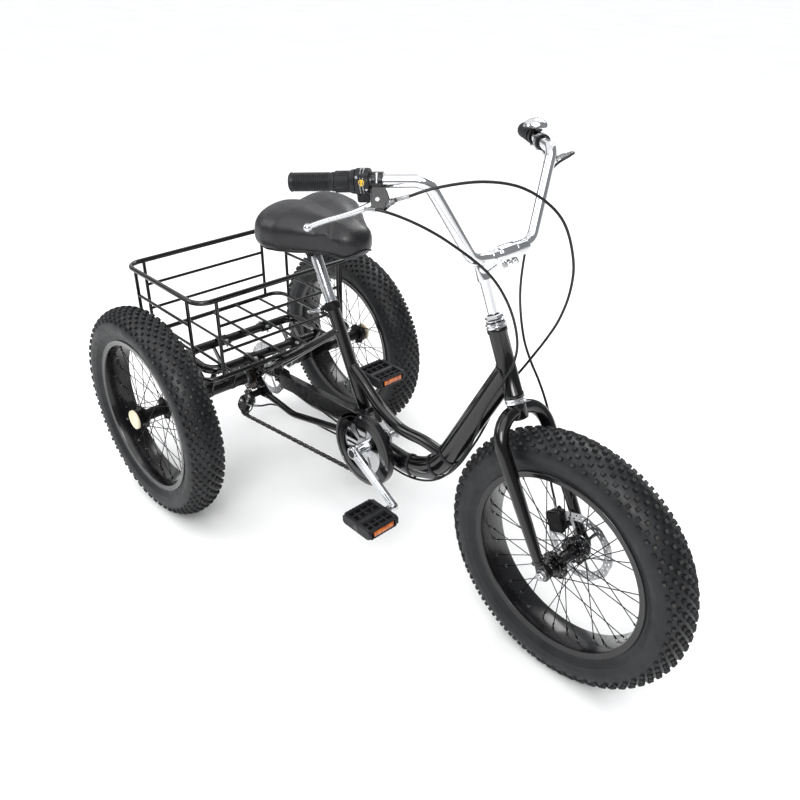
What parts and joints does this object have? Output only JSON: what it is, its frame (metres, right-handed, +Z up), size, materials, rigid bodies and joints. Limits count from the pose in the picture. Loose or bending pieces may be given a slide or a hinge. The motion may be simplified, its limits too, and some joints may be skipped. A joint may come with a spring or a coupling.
{
  "type": "adult tricycle",
  "caption": "Step-through adult tricycle with fat tyres, raised handlebar, chain drive with derailleur, disc brakes and a wire cargo basket over a rear axle carriage",
  "frame": {"origin": "on the ground, midway between the front and rear axles, in the middle of the width", "axes": "+X forward along the direction of travel, +Y to the rider's left, +Z up"},
  "size_m": [1.666, 0.8, 1.0749],
  "materials": {
    "black_paint": "gloss black enamel",
    "tyre": "matt moulded rubber",
    "rim": "satin black",
    "spoke_steel": "dark drawn wire",
    "hub_black": "satin black",
    "steel": "zinc plated",
    "chrome": "polished",
    "alloy": "polished",
    "dark_steel": "satin black",
    "chain_steel": "oiled",
    "plastic": "moulded",
    "gloss_plastic": "gloss",
    "vinyl": "grained vinyl",
    "cable": "smooth sleeve"
  },
  "bodies": {
    "frame": {"main_frame": "black_paint", "rear_carriage": "black_paint", "headset_upper_cup": "chrome", "headset_lower_cup": "chrome", "bottom_bracket": "steel", "right_axle_bearing": "steel", "left_axle_bearing": "steel", "chain_guard": "gloss_plastic", "rear_caliper": "dark_steel", "rear_brake_cable": "cable", "shift_cable": "cable", "basket": "black_paint", "derailleur_body": "dark_steel", "seat_clamp": "black_paint", "chain": "chain_steel"},
    "steering": {"fork": "black_paint", "headset_locknut": "chrome", "stem": "chrome", "handlebar": "chrome", "right_grip": "plastic", "left_grip": "plastic", "shifter_housing": "plastic", "right_brake_bracket": "alloy", "left_brake_bracket": "alloy", "bell_body": "chrome", "front_caliper": "dark_steel", "front_brake_cable": "cable", "front_axle": "steel"},
    "front_wheel": {"front_tyre": "tyre", "front_rim": "rim", "front_spokes": "spoke_steel", "front_hub": "hub_black", "front_rotor": "steel"},
    "rear_axle": {"rear_axle": "steel", "left_rear_hub": "hub_black", "left_rear_rim": "rim", "left_rear_spokes": "spoke_steel", "left_rear_tyre": "tyre", "freewheel": "steel", "rear_rotor": "steel"},
    "right_rear_wheel": {"right_rear_hub": "hub_black", "right_rear_rim": "rim", "right_rear_spokes": "spoke_steel", "right_rear_tyre": "tyre"},
    "crank": {"crank_spindle": "steel", "chainring": "alloy", "right_crank_arm": "alloy", "left_crank_arm": "alloy"},
    "right_pedal": {"right_pedal": "plastic"},
    "left_pedal": {"left_pedal": "plastic"},
    "right_brake_lever": {"right_brake_lever": "alloy"},
    "left_brake_lever": {"left_brake_lever": "alloy"},
    "twist_grip": {"twist_grip": "plastic"},
    "bell_lever": {"bell_lever": "steel"},
    "seat": {"seat_post": "alloy", "saddle": "vinyl"},
    "seat_clamp_lever": {"seat_clamp_lever": "alloy"},
    "derailleur_cage": {"derailleur_cage": "dark_steel"},
    "guide_pulley": {"guide_pulley": "plastic"},
    "tension_pulley": {"tension_pulley": "plastic"}
  },
  "joints": [
    {"name": "steering_turn", "type": "hinge", "parent": "frame", "child": "steering", "pos_m": [0.37555, 0, 0.60404], "axis": [-0.4099, 0, 0.9121], "range_deg": [-60, 60], "deforming": ["rear_brake_cable", "shift_cable"]},
    {"name": "front_wheel_spin", "type": "hinge", "parent": "steering", "child": "front_wheel", "pos_m": [0.543, 0, 0.29], "axis": [0, 1, 0], "continuous": true},
    {"name": "rear_axle_spin", "type": "hinge", "parent": "frame", "child": "rear_axle", "pos_m": [-0.543, 0, 0.29], "axis": [0, 1, 0], "continuous": true},
    {"name": "right_rear_wheel_spin", "type": "hinge", "parent": "frame", "child": "right_rear_wheel", "pos_m": [-0.543, -0.34, 0.29], "axis": [0, 1, 0], "continuous": true},
    {"name": "crank_spin", "type": "hinge", "parent": "frame", "child": "crank", "pos_m": [-0.039, 0, 0.292], "axis": [0, 1, 0], "continuous": true},
    {"name": "right_pedal_spin", "type": "hinge", "parent": "crank", "child": "right_pedal", "pos_m": [0.10361, -0.146, 0.209], "axis": [0, 1, 0], "continuous": true},
    {"name": "left_pedal_spin", "type": "hinge", "parent": "crank", "child": "left_pedal", "pos_m": [-0.1816, 0.146, 0.375], "axis": [0, 1, 0], "continuous": true},
    {"name": "right_brake_squeeze", "type": "hinge", "parent": "steering", "child": "right_brake_lever", "pos_m": [0.22968, -0.23386, 1.01352], "axis": [-0.4882, 0.6709, -0.5582], "range_deg": [0, 20], "stiffness_Nm_per_rad": 1.5, "springref_deg": -17.19},
    {"name": "left_brake_squeeze", "type": "hinge", "parent": "steering", "child": "left_brake_lever", "pos_m": [0.22968, 0.23386, 1.01352], "axis": [0.4882, 0.6709, 0.5582], "range_deg": [0, 20], "stiffness_Nm_per_rad": 1.5, "springref_deg": -17.19},
    {"name": "gear_twist", "type": "hinge", "parent": "steering", "child": "twist_grip", "pos_m": [0.09918, -0.313, 1.03255], "axis": [0.7824, 0.6198, 0.0607], "range_deg": [-50, 50]},
    {"name": "bell_strike", "type": "hinge", "parent": "steering", "child": "bell_lever", "pos_m": [0.16881, 0.25783, 1.03795], "axis": [-0.0476, 0.0377, 0.9982], "range_deg": [0, 25], "stiffness_Nm_per_rad": 0.03, "springref_deg": -17.19},
    {"name": "seat_height", "type": "slide", "parent": "frame", "child": "seat", "axis": [-0.4446, 0, 0.8957], "range_m": [-0.085, 0.1]},
    {"name": "seat_clamp_release", "type": "hinge", "parent": "frame", "child": "seat_clamp_lever", "pos_m": [-0.22349, -0.018, 0.59843], "axis": [-0.4446, 0, 0.8957], "range_deg": [0, 150]},
    {"name": "chain_tension_swing", "type": "hinge", "parent": "frame", "child": "derailleur_cage", "pos_m": [-0.555, 0, 0.212], "axis": [0, 1, 0], "range_deg": [-18, 18], "stiffness_Nm_per_rad": 0.6, "deforming": ["chain"]},
    {"name": "guide_pulley_spin", "type": "hinge", "parent": "frame", "child": "guide_pulley", "pos_m": [-0.555, 0, 0.212], "axis": [0, 1, 0], "continuous": true},
    {"name": "tension_pulley_spin", "type": "hinge", "parent": "derailleur_cage", "child": "tension_pulley", "pos_m": [-0.587, 0, 0.16], "axis": [0, 1, 0], "continuous": true}
  ],
  "couplings": [
    {"joint": "crank_spin", "follows": "rear_axle_spin", "ratio": 0.45454},
    {"joint": "guide_pulley_spin", "follows": "rear_axle_spin", "ratio": -1.8182},
    {"joint": "tension_pulley_spin", "follows": "rear_axle_spin", "ratio": 1.8182}
  ]
}
